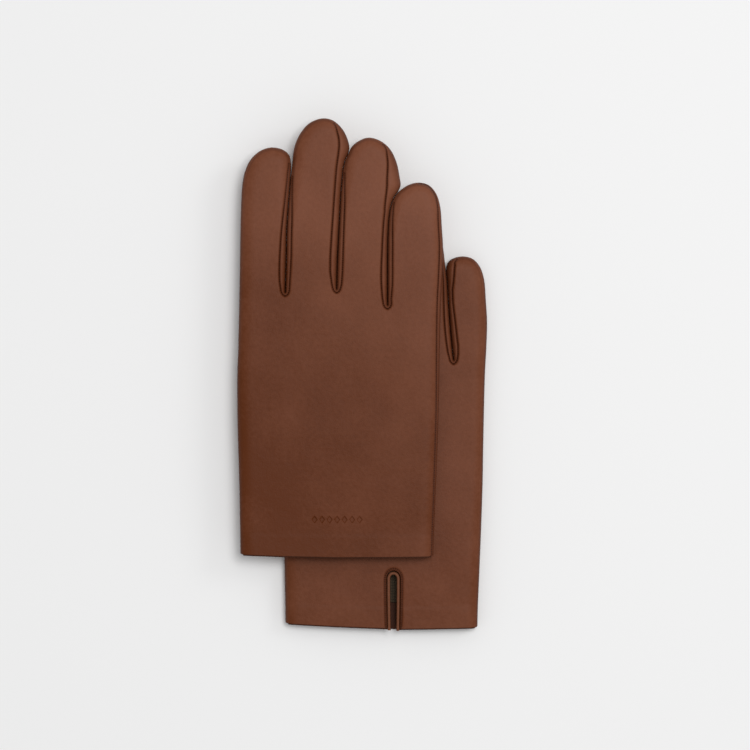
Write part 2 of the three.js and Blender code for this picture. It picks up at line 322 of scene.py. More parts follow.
class Side:
    """One side of a finger, from its slit or the cuff up to the fingertip: its outline and its two seams."""

    def __init__(self, outline, tangents, finger, side):
        self.has_slit = (finger, side) not in (("index", "left"), ("little", "right"))
        run = lengths_along(outline)
        if self.has_slit:
            stops = np.concatenate([CROTCH_STOPS, run[run > CROTCH_END]])
            outline = sample(outline, run, stops)
            tangents = unit(sample(tangents, run, stops))
            run = stops
        self.outline, self.run = outline, run
        turn = np.array([[0, 1], [-1, 0]]) if side == "left" else np.array([[0, -1], [1, 0]])
        self.inward = tangents @ turn.T
        self.seams, self.strength = {}, {}
        for face in ("back", "palm"):
            inset = along(SEAM_INSETS[face, finger, side], self.run / self.run[-1])
            strength = np.clip((inset - TIP_INSET) / 0.8, 0.12, 1)
            line = outline + self.inward * inset[:, None]
            if self.has_slit:
                turned = np.clip(self.run / CROTCH_TURN, 0, 1)[:, None] * math.pi / 2
                line = outline + self.inward * inset[:, None] * np.sin(turned)
                line = line + [0, -CROTCH_DROP] * np.cos(turned)
                # Where the strip is wide, its seam runs in one easy curve
                wide = smoothstep(1.8, 3.6, inset)[:, None] * smoothstep(8, 14, self.run)[:, None]
                line = line * (1 - wide) + ease(line, self.run, 9) * wide
            elif side == "left" or face == "palm":
                strength = np.zeros_like(inset)
            else:
                strength = np.where(outline[:, 1] > SIDE_SEAM_FROM, SIDE_SEAM_STRENGTH, SEAM_SHOWN + 0.01)
            self.seams[face], self.strength[face] = line, strength


class Glove:
    """One glove's outlines, seams and heights, and where it lies."""

    def __init__(self, hand):
        self.hand = hand
        vent_low, vent_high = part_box(f"{hand}_vent_binding")
        back_low, back_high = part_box(f"{hand}_back_panel")
        palm_low, palm_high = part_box(f"{hand}_palm_panel")
        self.up = 1 if back_high.z > palm_high.z else -1
        self.origin = np.array([
            (vent_low.x + vent_high.x) / 2 - CAD_VENT_X * MM,
            back_low.y,
            palm_low.z if self.up > 0 else palm_high.z,
        ])
        self.roots = {
            finger: (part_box(f"{hand}_{finger}_back")[0].y - back_low.y) / MM
            for finger in FINGERS if f"{hand}_{finger}_back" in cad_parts
        }
        self.sides = {}
        for i, finger in enumerate(FINGERS):
            up_left = INDEX_EDGE if i == 0 else SLITS[hand][i - 1]
            up_right = LITTLE_EDGE if i == 3 else SLITS[hand][i]
            whole = smooth_path(up_left + TIPS[hand][i] + up_right[::-1], 0.8)
            top = int(np.argmax(whole[:, 1]))
            tangents = unit(np.gradient(whole, axis=0))
            self.sides[finger, "left"] = Side(whole[:top + 1], tangents[:top + 1], finger, "left")
            self.sides[finger, "right"] = Side(whole[top:][::-1], -tangents[top:][::-1], finger, "right")
        rounding = []
        for side in self.sides.values():
            grown = smoothstep(20, 78, side.run) if side.has_slit else np.ones_like(side.run)
            rounding.append(size("slit_round") * (1 - grown) + size("edge_round") * grown)
        self.edge = Lines([side.outline for side in self.sides.values()], rounding=rounding)
        vent = self.vent_line(past_binding(PALM_GAP))
        self.seam = {}
        for face in ("back", "palm"):
            paths = [side.seams[face] for side in self.sides.values()]
            strengths = [side.strength[face] for side in self.sides.values()]
            if face == "palm":
                row = self.vent_line(past_binding(STITCH_ROW))
                paths += [vent, row]
                strengths += [np.full(len(vent), 1.1), np.full(len(row), 0.55)]
            self.seam[face] = Lines(paths, strength=strengths, run=[lengths_along(path) for path in paths])

    def vent_line(self, half, step=0.5):
        """A line round the vent at a distance from its middle: up one side, round the top and down again."""
        turn = np.linspace(math.pi, 0, 24)
        low = np.linspace(-2, VENT_TOP - VENT_ROUND, 40)
        left = np.stack([VENT_X - half * vent_squeeze(low), low], 1)
        right = np.stack([VENT_X + half * vent_squeeze(low), low], 1)[::-1]
        arc = np.stack([VENT_X + half * np.cos(turn), VENT_TOP - VENT_ROUND + half * 1.15 * np.sin(turn)], 1)
        return even_path(np.vstack([left, arc[1:-1], right]), step)

    def lies_on(self, face):
        return (face == "palm") == (self.up > 0)

    def fullness(self, face, x, y):
        """Half the glove's thickness, before its edges and seams."""
        if self.lies_on(face):
            return along(LYING_FULLNESS, y)
        full = along(UPPER_FULLNESS, y)
        for cx, cy, wide, long, rise in DRAPE[self.hand]:
            full = full + rise * np.exp(-((x - cx) / wide) ** 2 - ((y - cy) / long) ** 2)
        return full

    def rise(self, face, places):
        """How far the leather stands off the glove's middle plane."""
        x, y = places.T
        inside, values = self.edge.nearest(places)
        t = np.clip(inside / values["rounding"], 0, 1)
        power = bpy.context.scene.glove_form.edge_fullness
        round_off = (1 - (1 - t) ** power) ** (1 / power)
        height = self.fullness(face, x, y) * round_off
        from_seam, seam = self.seam[face].nearest(places)
        width = size("seam_width")
        dip = np.clip(1 - from_seam / width, 0, 1) ** 2
        height = height - size("seam_depth") * dip * seam["strength"] * np.clip(t * 2, 0.25, 1)
        if face == "back" and self.hand == "right":
            height = height - ornament_depth(x, y)
        return np.maximum(height, 0)

    def facing_up(self, face, places, inward=None):
        """Unit normals in the glove's own frame, from the slope of the leather."""
        step = 0.06
        at = places if inward is None else places + inward * 0.1
        right, left = self.rise(face, at + [step, 0]), self.rise(face, at - [step, 0])
        far, near = self.rise(face, at + [0, step]), self.rise(face, at - [0, step])
        slope = np.stack([(right - left), (far - near)], 1) / (2 * step)
        out = 1.0 if face == "back" else -1.0
        return unit(np.stack([-slope[:, 0], -slope[:, 1], np.ones(len(at))], 1) * [1, 1, out])

    def cuff_warp(self, points):
        """Bows the edge of the cuff, and less and less of the leather above it."""
        x, y = points[:, 0], points[:, 1]
        points = points.copy()
        points[:, 1] += along(CUFF_BOW[self.hand], x) * np.clip(1 - y / CUFF_BOW_REACH, 0, 1) ** 2
        return points

    def place(self, points):
        """Where points of the glove's own frame lie in the scene, in metres."""
        points = self.cuff_warp(points)
        return self.origin + points * [MM, MM, MM * self.up]


def ornament_depth(x, y):
    """A small pressed row of lozenges above the hem of the right glove's back."""
    shifted = x + ORNAMENT_PITCH * ORNAMENT_COUNT / 2
    middle = (np.clip(np.floor(shifted / ORNAMENT_PITCH), 0, ORNAMENT_COUNT - 1) + 0.5) * ORNAMENT_PITCH
    reach = np.abs(shifted - middle) / LOZENGE[0] + np.abs(y - ORNAMENT_Y) / LOZENGE[1]
    return size("ornament_depth") * smoothstep(1.05, 0.6, reach)


def inside_loop(places, loop):
    """Which places lie inside a closed outline."""
    x, y = places.T
    count = np.zeros(len(places), int)
    for a, b in zip(loop, np.roll(loop, -1, axis=0)):
        crosses = (a[1] > y) != (b[1] > y)
        if crosses.any():
            at = a[0] + (y - a[1]) / (b[1] - a[1] + 1e-15) * (b[0] - a[0])
            count += crosses & (x < at)
    return count % 2 == 1


def fill_loop(loop, fine=None):
    """Triangles inside a closed outline, finest along its edge, and the way inward at each of its points."""
    loop = np.asarray(loop, float)
    loop = loop[np.linalg.norm(loop - np.roll(loop, 1, axis=0), axis=1) > 0.01]
    area = np.sum(loop[:, 0] * np.roll(loop[:, 1], -1) - np.roll(loop[:, 0], -1) * loop[:, 1])
    if area < 0:
        loop = loop[::-1]
    tangent = unit(np.roll(loop, -1, axis=0) - np.roll(loop, 1, axis=0))
    inward = np.stack([-tangent[:, 1], tangent[:, 0]], 1)
    border = Lines([np.vstack([loop, loop[:1]])])
    layers = []
    for distance, thin in EDGE_RINGS:
        ring = (loop + inward * distance)[::thin]
        reach, _ = border.nearest(ring)
        layers.append(ring[np.abs(reach - distance) < 0.08 * distance + 0.01])
    low, high = loop.min(0), loop.max(0)
    rows = np.arange(low[1], high[1], INSIDE_SPACING * 0.87)
    grid = np.array([
        (x, y) for k, y in enumerate(rows)
        for x in np.arange(low[0] + (k % 2) * INSIDE_SPACING / 2, high[0], INSIDE_SPACING)
    ])
    reach, _ = border.nearest(grid)
    layers.append(grid[reach > INSIDE_FROM])
    if fine is not None:
        layers.append(fine)
    inner = np.vstack(layers)
    inner = inner[inside_loop(inner, loop)]
    keep, taken = [], set()
    for i, (x, y) in enumerate(inner):
        cell = (round(x / 0.12), round(y / 0.12))
        if cell not in taken:
            taken.add(cell)
            keep.append(i)
    points = np.vstack([loop, inner[keep]])
    edges = [(i, (i + 1) % len(loop)) for i in range(len(loop))]
    found = delaunay_2d_cdt([tuple(p) for p in points], edges, [], 1, 1e-6, True)
    places = np.array([tuple(p) for p in found[0]])
    origin = [ids[0] if ids else -1 for ids in found[3]]
    toward = np.zeros_like(places)
    for i, source in enumerate(origin):
        if 0 <= source < len(loop):
            toward[i] = inward[source]
    triangles = np.array(found[2])
    return places, triangles[inside_loop(places[triangles].mean(1), loop)], toward


def curl(points, normals, radius):
    """Rolls the leather in along its normals over the cuff edge."""
    t = np.clip(1 - points[:, 1] / radius, 0, 1)
    return points - normals * (radius * (1 - np.sqrt(1 - t * t)))[:, None]


def boundary_edges(faces):
    """The edges that only one face has, in the direction of that face."""
    sides = np.vstack([np.column_stack([faces[:, k], faces[:, (k + 1) % faces.shape[1]]])
                       for k in range(faces.shape[1])])
    key = np.sort(sides, axis=1)
    _, index, counts = np.unique(key, axis=0, return_index=True, return_counts=True)
    return sides[index[counts == 1]]


def make_shell(glove, name, points, faces, normals, thickness, extras=None):
    """A closed skin: the outside as given, an inside parallel to it, and a rim between them."""
    name = f"{glove.hand}_{name}"
    points, faces, normals = np.asarray(points), np.asarray(faces), unit(np.asarray(normals))
    count = len(points)
    all_points = glove.place(np.vstack([points, points - normals * thickness]))
    if glove.up < 0:
        faces = faces[:, ::-1]
    normals = normals * [1, 1, glove.up]
    a, b, c = (glove.place(points)[faces[:, k]] for k in range(3))
    lean = np.sum(np.cross(b - a, c - a) * normals[faces].sum(1), 1)
    if np.sum(lean) < 0:
        faces = faces[:, ::-1]
    rim = boundary_edges(faces)
    walls = np.column_stack([rim[:, 1], rim[:, 0], rim[:, 0] + count, rim[:, 1] + count])
    mesh = bpy.data.meshes.new(name)
    polygons = [*faces.tolist(), *(faces[:, ::-1] + count).tolist(), *walls.tolist()]
    mesh.from_pydata(all_points.tolist(), [], polygons)
    mesh.polygons.foreach_set("use_smooth", np.ones(len(polygons), bool))
    corner_normals = np.vstack([normals[faces].reshape(-1, 3), -normals[faces[:, ::-1]].reshape(-1, 3)])
    wall_points = all_points[walls]
    flat = unit(np.cross(wall_points[:, 1] - wall_points[:, 0], wall_points[:, 3] - wall_points[:, 0]))
    corner_normals = np.vstack([corner_normals, np.repeat(flat, 4, axis=0)])
    mesh.normals_split_custom_set(corner_normals.tolist())
    store(mesh, "rest", np.vstack([points, points]) * MM)
    # Painted light and shade, with some of the leather's own tone, stored for the shader
    store(mesh, "painted_light_and_tone", np.tile(painted_light_and_tone(glove.hand, points), 2))
    for key, values in (extras or {}).items():
        store(mesh, key, np.concatenate([values, np.full(len(values), FAR)]))
    return link(name, mesh)


def painted_light_and_tone(hand, points):
    """Painted light and shade, with some of the leather's own tone: lighter towards the fingers, where the
    light falls more, and darker towards the cuff.
    """
    x, y = points[:, 0], points[:, 1]
    if hand == "left":
        return np.clip(0.34 + 0.0009 * y + 0.001 * x, 0, 1)
    tone = 0.08 + 0.1 * smoothstep(20, 80, y) + 0.24 * smoothstep(85, 130, y) + 0.36 * smoothstep(140, 205, y)
    return np.clip(tone + 0.003 * x, 0, 1)


def store(mesh, name, values):
    """Stores a value or a vector for each point of a mesh."""
    values = np.asarray(values, np.float32)
    kind, field = ("FLOAT_VECTOR", "vector") if values.ndim == 2 else ("FLOAT", "value")
    mesh.attributes.new(name, kind, "POINT").data.foreach_set(field, values.ravel())


def link(name, mesh):
    """Puts a piece into the scene, in place of an earlier one of that name."""
    name = f"sewn_{name}"
    if name in bpy.data.objects:
        bpy.data.objects.remove(bpy.data.objects[name])
    thing = bpy.data.objects.new(name, mesh)
    bpy.context.scene.collection.objects.link(thing)
    return thing


def grid_faces(rows, columns, closed=False):
    """Triangles between rows of points. Closed rows are rings."""
    r, c = np.meshgrid(np.arange(rows - 1), np.arange(columns if closed else columns - 1), indexing="ij")
    r, c = r.ravel(), c.ravel()
    n = (c + 1) % columns
    a, b, d, e = r * columns + c, r * columns + n, (r + 1) * columns + n, (r + 1) * columns + c
    return np.vstack([np.column_stack([a, b, d]), np.column_stack([a, d, e])])


# ---------------------------------------------------------------- materials

def node(tree, kind, inputs=None, **settings):
    """A node with its settings. Each input is given a value, or the output that feeds it."""
    made = tree.nodes.new(kind)
    for key, value in settings.items():
        setattr(made, key, value)
    for key, value in (inputs or {}).items():
        if isinstance(value, bpy.types.NodeSocket):
            tree.links.new(value, made.inputs[key])
        else:
            made.inputs[key].default_value = value
    return made


def maths(tree, operation, a, b=0.0, clamp=False):
    return node(tree, "ShaderNodeMath", {0: a, 1: b}, operation=operation, use_clamp=clamp).outputs[0]


def total(tree, *parts):
    """The sum of some outputs, each times its share."""
    scaled = [maths(tree, "MULTIPLY", output, share) for output, share in parts]
    added = scaled[0]
    for each in scaled[1:]:
        added = maths(tree, "ADD", added, each)
    return added


def fade(tree, value, start, end, at_start, at_end):
    """A value that runs evenly from one figure to another."""
    inputs = {"Value": value, "From Min": start, "From Max": end, "To Min": at_start, "To Max": at_end}
    return node(tree, "ShaderNodeMapRange", inputs).outputs[0]


def blend_colours(tree, factor, a, b):
    inputs = {"Factor": factor, "A": a, "B": b}
    return node(tree, "ShaderNodeMix", inputs, data_type="RGBA").outputs["Result"]


def noise(tree, place, scale, detail, roughness=0.5):
    inputs = {"Vector": place, "Scale": scale, "Detail": detail, "Roughness": roughness}
    return node(tree, "ShaderNodeTexNoise", inputs).outputs["Fac"]


def stored(tree, name, output="Fac"):
    """What a piece's mesh stores under a name. "rest" is the leather's own place, which bends with it."""
    return node(tree, "ShaderNodeAttribute", attribute_name=name).outputs[output]


def new_group(name, inputs, outputs):
    """An empty node group and its inputs. Each input has a socket kind and a default."""
    group = bpy.data.node_groups.new(name, "ShaderNodeTree")
    for key, (kind, default) in inputs.items():
        item = group.interface.new_socket(name=key, in_out="INPUT", socket_type=kind)
        if default is not None:
            item.default_value = default
    for key in outputs:
        group.interface.new_socket(name=key, in_out="OUTPUT", socket_type="NodeSocketFloat")
    return group, node(group, "NodeGroupInput").outputs


def grain_group():
    """Fine pores and creases of dressed leather."""
    inputs = {"Place": ("NodeSocketVector", None), "Pore size": ("NodeSocketFloat", 0.55)}
    group, given = new_group("Leather grain", inputs, ("Height", "Tone"))
    place = given["Place"]
    scale = maths(group, "DIVIDE", 1000.0, given["Pore size"])
    pores = node(group, "ShaderNodeTexVoronoi", {"Vector": place, "Scale": scale}, feature="F1")
    crease = noise(group, place, maths(group, "MULTIPLY", scale, 0.32), 6, 0.62)
    broad = noise(group, place, 34, 3)
    wave = noise(group, place, 95, 2)
    height = total(group, (pores.outputs["Distance"], 0.6), (crease, 1.3), (wave, 3.5))
    tone = total(group, (crease, 0.45), (broad, 0.55))
    node(group, "NodeGroupOutput", {"Height": height, "Tone": tone})


def stitch_group():
    """Small stitches that show along a closed seam."""
    inputs = {"From seam": ("NodeSocketFloat", FAR), "Along seam": ("NodeSocketFloat", 0),
              "Pitch": ("NodeSocketFloat", 1.25)}
    group, given = new_group("Seam stitches", inputs, ("Shade", "Hole"))
    turns = maths(group, "DIVIDE", given["Along seam"], given["Pitch"])
    wave = maths(group, "SINE", maths(group, "MULTIPLY", turns, 2 * math.pi))
    dash = maths(group, "ADD", maths(group, "MULTIPLY", wave, 0.5), 0.5)
    close = fade(group, given["From seam"], 0.1, 0.55, 1, 0)
    shade = fade(group, given["From seam"], 0, 1.1, 1, 0)
    node(group, "NodeGroupOutput", {"Shade": shade, "Hole": maths(group, "MULTIPLY", dash, close)})


def new_material(name):
    """A material, its nodes, and its shader's inputs."""
    made = bpy.data.materials.new(f"sewn_{name}")
    made.use_nodes = True
    return made, made.node_tree, made.node_tree.nodes["Principled BSDF"].inputs


def emboss(tree, shader, height, strength, distance):
    """Raises the surface by a height that changes over it."""
    bump = node(tree, "ShaderNodeBump", {"Height": height, "Strength": strength, "Distance": distance})
    tree.links.new(bump.outputs["Normal"], shader["Normal"])


def leather(name, colour, deep, roughness, seams=True):
    """Dressed leather. With seams, it has painted shade along them and along its edges, where its dye is also
    darker, and its stitches show.
    """
    look = bpy.context.scene.glove_leather
    made, tree, shader = new_material(name)
    shader["Specular IOR Level"].default_value = 0.13
    inputs = {"Place": stored(tree, "rest", "Vector"), "Pore size": look.pore_size / MM}
    grain = node(tree, "ShaderNodeGroup", inputs, node_tree=bpy.data.node_groups["Leather grain"]).outputs
    mottle = maths(tree, "MULTIPLY", maths(tree, "SUBTRACT", grain["Tone"], 0.5), 1.5)
    # The tone adds the leather's own mottle to painted light, lighter towards the fingers and darker towards
    # the cuff
    tone = maths(tree, "ADD", mottle, stored(tree, "painted_light_and_tone") if seams else 0.5, clamp=True)
    dark = (colour[0] * 0.7, colour[1] * 0.5, colour[2] * 0.2, 1)
    light = (colour[0] * 1.34, colour[1] * 1.4, colour[2] * 1.5, 1)
    paint = blend_colours(tree, tone, dark, light)
    height = grain["Height"]
    if seams:
        inputs = {"Pitch": look.stitch_pitch / MM, "From seam": stored(tree, "from_seam"),
                  "Along seam": stored(tree, "along_seam")}
        group = bpy.data.node_groups["Seam stitches"]
        stitches = node(tree, "ShaderNodeGroup", inputs, node_tree=group).outputs
        # Painted shade, partly the darker dye: the leather darkens towards its edges, where it rounds away
        # from the light
        edge_dye_and_shade = fade(tree, stored(tree, "from_edge"), 0, 2.6, 0.95, 0)
        shade = maths(tree, "MAXIMUM", edge_dye_and_shade, maths(tree, "MULTIPLY", stitches["Shade"], 0.85))
        paint = blend_colours(tree, shade, paint, (*deep, 1))
        hole = maths(tree, "MULTIPLY", stitches["Hole"], 0.75)
        paint = blend_colours(tree, hole, paint, (*[c * 0.35 for c in deep], 1))
        height = maths(tree, "SUBTRACT", height, maths(tree, "MULTIPLY", stitches["Hole"], 2.0))
    rough = fade(tree, grain["Tone"], 0.3, 0.7, roughness - 0.04, roughness + 0.06)
    tree.links.new(paint, shader["Base Color"])
    tree.links.new(rough, shader["Roughness"])
    emboss(tree, shader, height, 0.65, 0.00012)
    return made


def knit(name, colour, metal=0.0):
    """A fine knit of crossing ribs and loops."""
    made, tree, shader = new_material(name)
    shader["Roughness"].default_value = 0.92
    shader["Sheen Weight"].default_value = 0.08
    shader["Metallic"].default_value = metal
    place = stored(tree, "rest", "Vector")
    loops = node(tree, "ShaderNodeTexWave", {"Vector": place, "Scale": 260, "Distortion": 1.5},
                 wave_type="BANDS", bands_direction="X")
    ribs = node(tree, "ShaderNodeTexWave", {"Vector": place, "Scale": 200},
                wave_type="BANDS", bands_direction="Y")
    both = maths(tree, "MULTIPLY", loops.outputs["Fac"], ribs.outputs["Fac"])
    shadow, light = (*[c * 0.6 for c in colour], 1), (*[c * 1.3 for c in colour], 1)
    tree.links.new(blend_colours(tree, both, shadow, light), shader["Base Color"])
    emboss(tree, shader, both, 0.5, 0.0002)
    return made


def finish(name):
    """The sewn pieces' material of that kind, made when it is first asked for."""
    if f"sewn_{name}" in bpy.data.materials:
        return bpy.data.materials[f"sewn_{name}"]
    if "Leather grain" not in bpy.data.node_groups:
        grain_group()
        stitch_group()
    look = bpy.context.scene.glove_leather
    if name == "knit":
        return knit(name, look.lining_colour)
    if name == "conductive_knit":
        return knit(name, look.tip_colour, metal=0.15)
    colour, roughness = {
        "nappa": (look.colour, look.roughness),
        "trim_leather": (look.trim_colour, look.roughness - 0.12),
        # The facing's darker colour is painted shade
        "facing": (look.shaded_facing_colour, look.roughness + 0.1),
        "thread": (look.thread_colour, 0.6),
    }[name]
    return leather(name, colour, look.edge_colour, roughness, seams=name == "nappa")


# ---------------------------------------------------------------- pieces

def dress(thing, glove, part, stands_for, material):
    """Gives a piece its finish, hides the CAD node it stands for, if any, and puts it with its glove's body,
    or, for a parted finger, bakes its place into its mesh.
    """
    thing.data.materials.append(finish(material))
    if stands_for:
        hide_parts(f"{glove.hand}_{stands_for}")
    if part in glove.roots:
        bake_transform(thing)
    else:
        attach(thing, f"{glove.hand}_glove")


def clip_path(path, low=None, high=None):
    """The stretch of an upward path between two heights, with its cut ends added."""
    def cut(k, height):
        t = (height - path[k - 1, 1]) / (path[k, 1] - path[k - 1, 1])
        return (path[k - 1] * (1 - t) + path[k] * t)[None]

    if low is not None:
        k = int(np.argmax(path[:, 1] > low + 1e-6))
        if k:
            path = np.vstack([cut(k, low), path[k:]])
    if high is not None:
        k = int(np.argmax(path[:, 1] > high - 1e-6))
        path = np.vstack([path[:k], cut(k, high)])
    return path


def straight(a, b):
    """Places a millimetre apart on the way from one place to another, without those two."""
    return even_path(np.array([a, b]), 1.0)[1:-1]


def panel_loop(glove, face, part):
    """The outline of the back or palm of one parted finger, or of the hand with the fingers joined to it."""
    def line(finger, side):
        return glove.sides[finger, side].seams[face]

    if part in glove.roots:
        root = glove.roots[part]
        left, right = clip_path(line(part, "left"), low=root), clip_path(line(part, "right"), low=root)
        return np.vstack([left, right[::-1][1:], straight(right[0], left[0])])
    pieces = []
    for finger in FINGERS:
        root = glove.roots.get(finger)
        left = clip_path(line(finger, "left"), low=0 if finger == "index" else None, high=root)
        right = clip_path(line(finger, "right"), low=0 if finger == "little" else None, high=root)[::-1]
        pieces.append(left[1:] if pieces else left)
        pieces += [right[1:]] if root is None else [straight(left[-1], right[0]), right]
    first, last = pieces[0][0], pieces[-1][-1]
    if face == "palm":
        slot = glove.vent_line(past_binding(PALM_GAP))
        half = len(slot) // 2
        up = clip_path(slot[:half + 1], low=0)
        down = clip_path(slot[half:][::-1], low=0)[::-1]
        pieces += [straight(last, down[-1]), down[::-1], up[::-1][1:], straight(up[0], first)]
    else:
        pieces.append(straight(last, first))
    return np.vstack(pieces)


def sew_panel(glove, face, part):
    """The leather of the back or the palm, of one finger or of the hand."""
    fine = None
    if glove.hand == "right" and face == "back" and not part:
        half_row, half_height = ORNAMENT_PITCH * ORNAMENT_COUNT / 2 + 0.8, LOZENGE[1] + 0.6
        grid = np.meshgrid(
            np.arange(-half_row, half_row + 0.1, ORNAMENT_GRID),
            np.arange(ORNAMENT_Y - half_height, ORNAMENT_Y + half_height + 0.1, ORNAMENT_GRID))
        fine = np.stack([axis.ravel() for axis in grid], 1)
    places, faces, inward = fill_loop(panel_loop(glove, face, part), fine)
    out = 1 if face == "back" else -1
    inward[places[:, 1] < 1e-4] = 0  # along the cuff
    normals = glove.facing_up(face, places, inward)
    points = np.column_stack([places, MIDDLE + out * glove.rise(face, places)])
    points = curl(points, glove.facing_up(face, places), size("cuff_round"))
    from_seam, seam = glove.seam[face].nearest(places)
    from_edge, _ = glove.edge.nearest(places)
    from_seam = np.where(seam["strength"] > SEAM_SHOWN, from_seam, FAR)
    name = f"{part}_{face}" if part else f"{face}_panel"
    thing = make_shell(glove, name, points, faces, normals, size("leather_thickness"),
                       {"from_seam": from_seam, "along_seam": seam["run"], "from_edge": from_edge})
    dress(thing, glove, part, name, "nappa")


def sew_strip(glove, finger, side, name, low=None, high=None):
    """The leather down one side of a finger or the hand, from the back's seam round to the palm's.

    Without a low end it starts at the foot of the slit, and without a high one it runs to the fingertip.
    """
    edge = glove.sides[finger, side]
    run = edge.run
    start = 0.0 if low is None else float(np.interp(low, edge.outline[:, 1], run))
    end = run[-1] if high is None else float(np.interp(high, edge.outline[:, 1], run))
    stops = [start] + [s for s in run if start + 0.2 < s < end - 0.2] + [end]
    if low == 0:
        stops = sorted(set(stops) | {start + s for s in (0.12, 0.3, 0.55, 0.9, 1.3)})
    stops = np.array(stops)
    outline, inward = sample(edge.outline, run, stops), unit(sample(edge.inward, run, stops))
    shares = 0.5 + 0.5 * np.cos(np.linspace(0, math.pi, 13))
    rows, heights, normals, rolled = [], [], [], []
    clear = inward * (SLIT_CLEARANCE if edge.has_slit else 0)
    for face, out in (("back", 1), ("palm", -1)):
        seam = sample(edge.seams[face], run, stops)
        for share in shares if face == "back" else shares[::-1][1:]:
            place = outline + (seam - outline) * share
            rows.append(place + clear * (1 - share))
            heights.append(MIDDLE + out * glove.rise(face, place) if share else np.full(len(stops), MIDDLE))
            if share == 1:
                normals.append(glove.facing_up(face, place, unit(outline - seam)))
                rolled.append(glove.facing_up(face, place))
    grid = np.stack([np.column_stack([row, height]) for row, height in zip(rows, heights)], 1)
    facing = unit(np.cross(np.gradient(grid, axis=0), np.gradient(grid, axis=1)))
    if np.sum(facing[:, len(shares) - 1, :2] * inward) > 0:
        facing = -facing
    # The seams are lit from the fold that they make, but the cuff curls in along the panels' own slope
    curling = facing.copy()
    curling[:, 0], curling[:, -1] = rolled
    facing[:, 0], facing[:, -1] = normals
    points, facing, curling = grid.reshape(-1, 3), facing.reshape(-1, 3), curling.reshape(-1, 3)
    curled = curl(points, curling, size("cuff_round")) if low == 0 else points
    from_seam, along_seam = np.full(len(points), FAR), np.zeros(len(points))
    for face, chosen in (("back", points[:, 2] >= MIDDLE), ("palm", points[:, 2] < MIDDLE)):
        gap, found = glove.seam[face].nearest(points[chosen][:, :2])
        from_seam[chosen] = np.where(found["strength"] > SEAM_SHOWN, gap, FAR)
        along_seam[chosen] = found["run"]
    # Painted shade, dark at the fold and paler at the seams, and in a slit painted light, paler all over up
    # to the fingertip
    painted_slit_light = 0.9 * (1 - smoothstep(0.6, 0.85, stops / run[-1])) if edge.has_slit else np.zeros(len(stops))
    from_edge = (np.concatenate([shares, shares[::-1][1:]]) * 3 + 0.4 + painted_slit_light[:, None]).ravel()
    thing = make_shell(glove, name, curled, grid_faces(*grid.shape[:2]), facing,
                       size("leather_thickness") * 0.9,
                       {"from_seam": from_seam, "along_seam": along_seam, "from_edge": from_edge})
    dress(thing, glove, finger if finger in glove.roots and high is None else "", name, "nappa")


def section(glove, y, shrink, opening):
    """The glove's inside round the hand at one height, as an open loop that starts and ends at the vent."""
    count, clear = 40, 0.3
    index, little = glove.sides["index", "left"].outline, glove.sides["little", "right"].outline
    left = np.interp(y, index[:, 1], index[:, 0])
    right = np.interp(y, little[:, 1], little[:, 0])
    spread = (1 - np.cos(np.linspace(0, math.pi, count))) / 2
    x = left + (right - left) * spread
    places = np.column_stack([x, np.full(count, y)])
    keep = 1 - shrink / HAND_HALF
    narrow = 1 - shrink * 2 / (right - left)
    middle = (left + right) / 2
    inner = middle + (x - middle) * narrow
    upper = np.column_stack([inner, places[:, 1], MIDDLE + glove.rise("back", places) * keep])
    lower = np.column_stack([inner, places[:, 1], MIDDLE - glove.rise("palm", places) * keep])
    before = lower[inner < VENT_X - opening - clear][::-1]
    after = lower[inner > VENT_X + opening + clear][::-1]
    height = np.interp(VENT_X, inner, lower[:, 2])
    start, end = (VENT_X - opening, y, height), (VENT_X + opening, y, height)
    loop = np.vstack([start, before, upper[1:-1], after, end])
    return even_path(loop, lengths_along(loop)[-1] / (3 * count - 1))


def outward_normals(grid, closed=False):
    """Unit normals of a grid of sections, away from the middle of each."""
    across = np.roll(grid, -1, 1) - np.roll(grid, 1, 1) if closed else np.gradient(grid, axis=1)
    facing = unit(np.cross(np.gradient(grid, axis=0), across))
    away = grid - grid.mean(1, keepdims=True)
    return facing * (1 if np.sum(facing * away) > 0 else -1)


def sew_sections(glove, name, grid, thickness, material):
    """A piece that runs round the inside of the hand, from a grid of sections."""
    grid = np.stack(grid)
    thing = make_shell(glove, name, grid.reshape(-1, 3), grid_faces(*grid.shape[:2]),
                       outward_normals(grid).reshape(-1, 3), thickness)
    dress(thing, glove, "", name, material)


def sew_facing(glove):
    """The cuff's leather, turned in."""
    opening = size("vent_opening") / 2 + 0.4
    grid = [section(glove, y, shrink, opening) for y, shrink in FACING_RINGS]
    sew_sections(glove, "cuff_facing", grid, 0.8, "facing")


def sew_hand_lining(glove):
    """The hand's lining, with a rounded slot at the vent."""
    half = size("vent_opening") / 2 + 1.6
    top = min(glove.roots.values()) - 1.5
    heights = np.concatenate([np.linspace(LINING_START, VENT_TOP - 4, 8),
                              np.linspace(VENT_TOP - 3, VENT_TOP + 1, 6), np.linspace(VENT_TOP + 5, top, 22)])
    grid = []
    for y in heights:
        closing = np.clip((VENT_TOP + 0.5 - y) / VENT_ROUND, 0, 1)
        grid.append(section(glove, y, 2.3, 0.02 + half * math.sqrt(1 - (1 - closing) ** 2)))
    sew_sections(glove, "hand_lining", grid, LINING_THICKNESS, "knit")


def tube_sections(middle, half_width, half_height, count=40, power=2.4):
    """Flattened oval rings round the given middles. A higher power gives squarer ones."""
    turn = np.linspace(0, 2 * math.pi, count, endpoint=False)
    c, s = np.cos(turn), np.sin(turn)
    x = np.sign(c) * np.abs(c) ** (2 / power)
    z = np.sign(s) * np.abs(s) ** (2 / power)
    middle = np.asarray(middle, float)
    return np.stack([
        np.column_stack([m[0] + w * x, np.full(count, m[1]), m[2] + h * z])
        for m, w, h in zip(middle, half_width, half_height)
    ])


